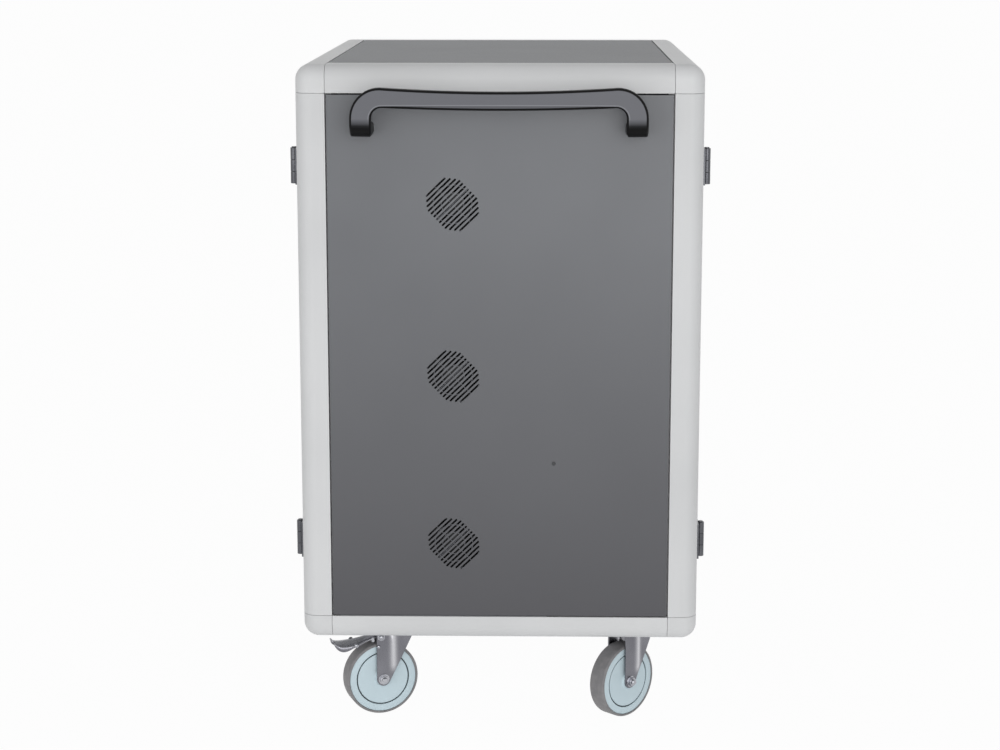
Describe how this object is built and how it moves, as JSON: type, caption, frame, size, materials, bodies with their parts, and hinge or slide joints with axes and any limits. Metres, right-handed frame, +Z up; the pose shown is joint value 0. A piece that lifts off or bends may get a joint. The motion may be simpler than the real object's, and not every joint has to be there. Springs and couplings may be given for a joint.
{
  "type": "laptop charging cart",
  "caption": "Lockable sheet-metal cabinet on swivel casters that stores and charges laptops in divider racks behind hinged doors, with fan grilles and push handles.",
  "frame": {"origin": "on the floor under the middle of the cart", "axes": "+Z up; -Y towards the end panel with the fan grilles and a push handle, -X towards the laptop doors, +X towards the charger doors"},
  "size_m": [0.6836, 1.014, 1.104],
  "materials": {
    "frame_paint": "extruded profile, light grey powder coat",
    "corner_plastic": "moulded, light grey",
    "panel_paint": "sheet steel, dark grey powder coat",
    "liner_paint": "sheet steel, light grey powder coat",
    "dark_plastic": "moulded, fine grain",
    "black_steel": "black coated",
    "zinc_steel": "bright zinc plated",
    "black_plastic": "moulded",
    "white_plastic": "moulded",
    "hub_plastic": "moulded, pale blue grey",
    "tread_rubber": "grey, non-marking"
  },
  "bodies": {
    "cabinet": {"posts": "frame_paint", "top_corners": "corner_plastic", "bottom_corners": "corner_plastic", "top_rails": "frame_paint", "bottom_rails": "frame_paint", "top_panel": "panel_paint", "base_pan": "liner_paint", "near_end_panel": "panel_paint", "far_end_panel": "panel_paint", "partition": "liner_paint", "shelves": "liner_paint", "lower_divider_rack": "dark_plastic", "middle_divider_rack": "dark_plastic", "upper_divider_rack": "dark_plastic", "charger_trays": "liner_paint", "socket_strips": "white_plastic", "control_box": "dark_plastic", "power_inlet": "black_plastic", "fan_guards": "zinc_steel", "fan_frames": "black_plastic", "near_handle": "dark_plastic", "far_handle": "dark_plastic", "handle_screws": "zinc_steel", "post_hinge_leaves": "black_steel", "hinge_pins": "zinc_steel", "caster_plates": "zinc_steel", "caster_bolts": "zinc_steel"},
    "front_near_door": {"front_near_door": "panel_paint", "front_near_hinge_leaves": "black_steel", "front_lock_plate": "black_steel"},
    "front_far_door": {"front_far_door": "panel_paint", "front_far_hinge_leaves": "black_steel"},
    "rear_near_door": {"rear_near_door": "panel_paint", "rear_near_hinge_leaves": "black_steel", "rear_lock_plate": "black_steel"},
    "rear_far_door": {"rear_far_door": "panel_paint", "rear_far_hinge_leaves": "black_steel"},
    "front_lock": {"front_lock_lever": "black_steel", "front_lock_cam": "zinc_steel"},
    "upper_rod": {"front_upper_rod": "zinc_steel"},
    "lower_rod": {"front_lower_rod": "zinc_steel"},
    "rear_lock": {"rear_lock_lever": "black_steel"},
    "rocker": {"power_switch": "black_plastic"},
    "lower_rotor": {"lower_fan_rotor": "black_plastic"},
    "middle_rotor": {"middle_fan_rotor": "black_plastic"},
    "upper_rotor": {"upper_fan_rotor": "black_plastic"},
    "front_near_caster": {"front_near_fork": "zinc_steel"},
    "front_near_wheel": {"front_near_hub": "hub_plastic", "front_near_tread": "tread_rubber"},
    "front_near_pedal": {"front_near_brake": "zinc_steel"},
    "front_far_caster": {"front_far_fork": "zinc_steel"},
    "front_far_wheel": {"front_far_hub": "hub_plastic", "front_far_tread": "tread_rubber"},
    "front_far_pedal": {"front_far_brake": "zinc_steel"},
    "rear_near_caster": {"rear_near_fork": "zinc_steel"},
    "rear_near_wheel": {"rear_near_hub": "hub_plastic", "rear_near_tread": "tread_rubber"},
    "rear_far_caster": {"rear_far_fork": "zinc_steel"},
    "rear_far_wheel": {"rear_far_hub": "hub_plastic", "rear_far_tread": "tread_rubber"}
  },
  "joints": [
    {"name": "front_near_door_hinge", "type": "hinge", "parent": "cabinet", "child": "front_near_door", "pos_m": [-0.3315, -0.37575, 0.6295], "axis": [0, 0, 1], "range_deg": [0, 180]},
    {"name": "front_far_door_hinge", "type": "hinge", "parent": "cabinet", "child": "front_far_door", "pos_m": [-0.3315, 0.37575, 0.6295], "axis": [0, 0, -1], "range_deg": [0, 180]},
    {"name": "rear_near_door_hinge", "type": "hinge", "parent": "cabinet", "child": "rear_near_door", "pos_m": [0.3315, -0.37575, 0.6295], "axis": [0, 0, -1], "range_deg": [0, 180]},
    {"name": "rear_far_door_hinge", "type": "hinge", "parent": "cabinet", "child": "rear_far_door", "pos_m": [0.3315, 0.37575, 0.6295], "axis": [0, 0, 1], "range_deg": [0, 180]},
    {"name": "front_lock_turn", "type": "hinge", "parent": "front_near_door", "child": "front_lock", "pos_m": [-0.325, -0.04, 0.6295], "axis": [1, 0, 0], "range_deg": [0, 90]},
    {"name": "upper_rod_slide", "type": "slide", "parent": "front_near_door", "child": "upper_rod", "axis": [0, 0, 1], "range_m": [0, 0.017]},
    {"name": "lower_rod_slide", "type": "slide", "parent": "front_near_door", "child": "lower_rod", "axis": [0, 0, -1], "range_m": [0, 0.017]},
    {"name": "rear_lock_turn", "type": "hinge", "parent": "rear_near_door", "child": "rear_lock", "pos_m": [0.325, -0.04, 0.6295], "axis": [1, 0, 0], "range_deg": [0, 90]},
    {"name": "power_switch_rock", "type": "hinge", "parent": "cabinet", "child": "rocker", "pos_m": [0.18575, -0.11, 1.0715], "axis": [0, 1, 0], "range_deg": [0, 14]},
    {"name": "lower_fan_spin", "type": "hinge", "parent": "cabinet", "child": "lower_rotor", "pos_m": [-0.075, -0.4094, 0.325], "axis": [0, 1, 0], "continuous": true},
    {"name": "middle_fan_spin", "type": "hinge", "parent": "cabinet", "child": "middle_rotor", "pos_m": [-0.075, -0.4094, 0.604], "axis": [0, 1, 0], "continuous": true},
    {"name": "upper_fan_spin", "type": "hinge", "parent": "cabinet", "child": "upper_rotor", "pos_m": [-0.075, -0.4094, 0.883], "axis": [0, 1, 0], "continuous": true},
    {"name": "front_near_swivel", "type": "hinge", "parent": "cabinet", "child": "front_near_caster", "pos_m": [-0.185, -0.313, 0.148], "axis": [0, 0, 1], "continuous": true},
    {"name": "front_near_roll", "type": "hinge", "parent": "front_near_caster", "child": "front_near_wheel", "pos_m": [-0.20554, -0.32088, 0.0625], "axis": [0.3584, -0.9336, 0], "continuous": true},
    {"name": "front_near_brake_press", "type": "hinge", "parent": "front_near_caster", "child": "front_near_pedal", "pos_m": [-0.20927, -0.32232, 0.137], "axis": [0.3584, -0.9336, 0], "range_deg": [0, 12]},
    {"name": "front_far_swivel", "type": "hinge", "parent": "cabinet", "child": "front_far_caster", "pos_m": [-0.185, 0.313, 0.148], "axis": [0, 0, 1], "continuous": true},
    {"name": "front_far_roll", "type": "hinge", "parent": "front_far_caster", "child": "front_far_wheel", "pos_m": [-0.20625, 0.30731, 0.0625], "axis": [0.2588, -0.9659, 0], "continuous": true},
    {"name": "front_far_brake_press", "type": "hinge", "parent": "front_far_caster", "child": "front_far_pedal", "pos_m": [-0.21011, 0.30627, 0.137], "axis": [0.2588, -0.9659, 0], "range_deg": [0, 12]},
    {"name": "rear_near_swivel", "type": "hinge", "parent": "cabinet", "child": "rear_near_caster", "pos_m": [0.221, -0.313, 0.148], "axis": [0, 0, 1], "continuous": true},
    {"name": "rear_near_roll", "type": "hinge", "parent": "rear_near_caster", "child": "rear_near_wheel", "pos_m": [0.20544, -0.32856, 0.0625], "axis": [0.7071, -0.7071, 0], "continuous": true},
    {"name": "rear_far_swivel", "type": "hinge", "parent": "cabinet", "child": "rear_far_caster", "pos_m": [0.221, 0.313, 0.148], "axis": [0, 0, 1], "continuous": true},
    {"name": "rear_far_roll", "type": "hinge", "parent": "rear_far_caster", "child": "rear_far_wheel", "pos_m": [0.2032, 0.30007, 0.0625], "axis": [0.5878, -0.809, 0], "continuous": true}
  ],
  "couplings": [
    {"joint": "upper_rod_slide", "follows": "front_lock_turn", "m_per_rad": 0.010804},
    {"joint": "lower_rod_slide", "follows": "front_lock_turn", "m_per_rad": 0.010804}
  ]
}
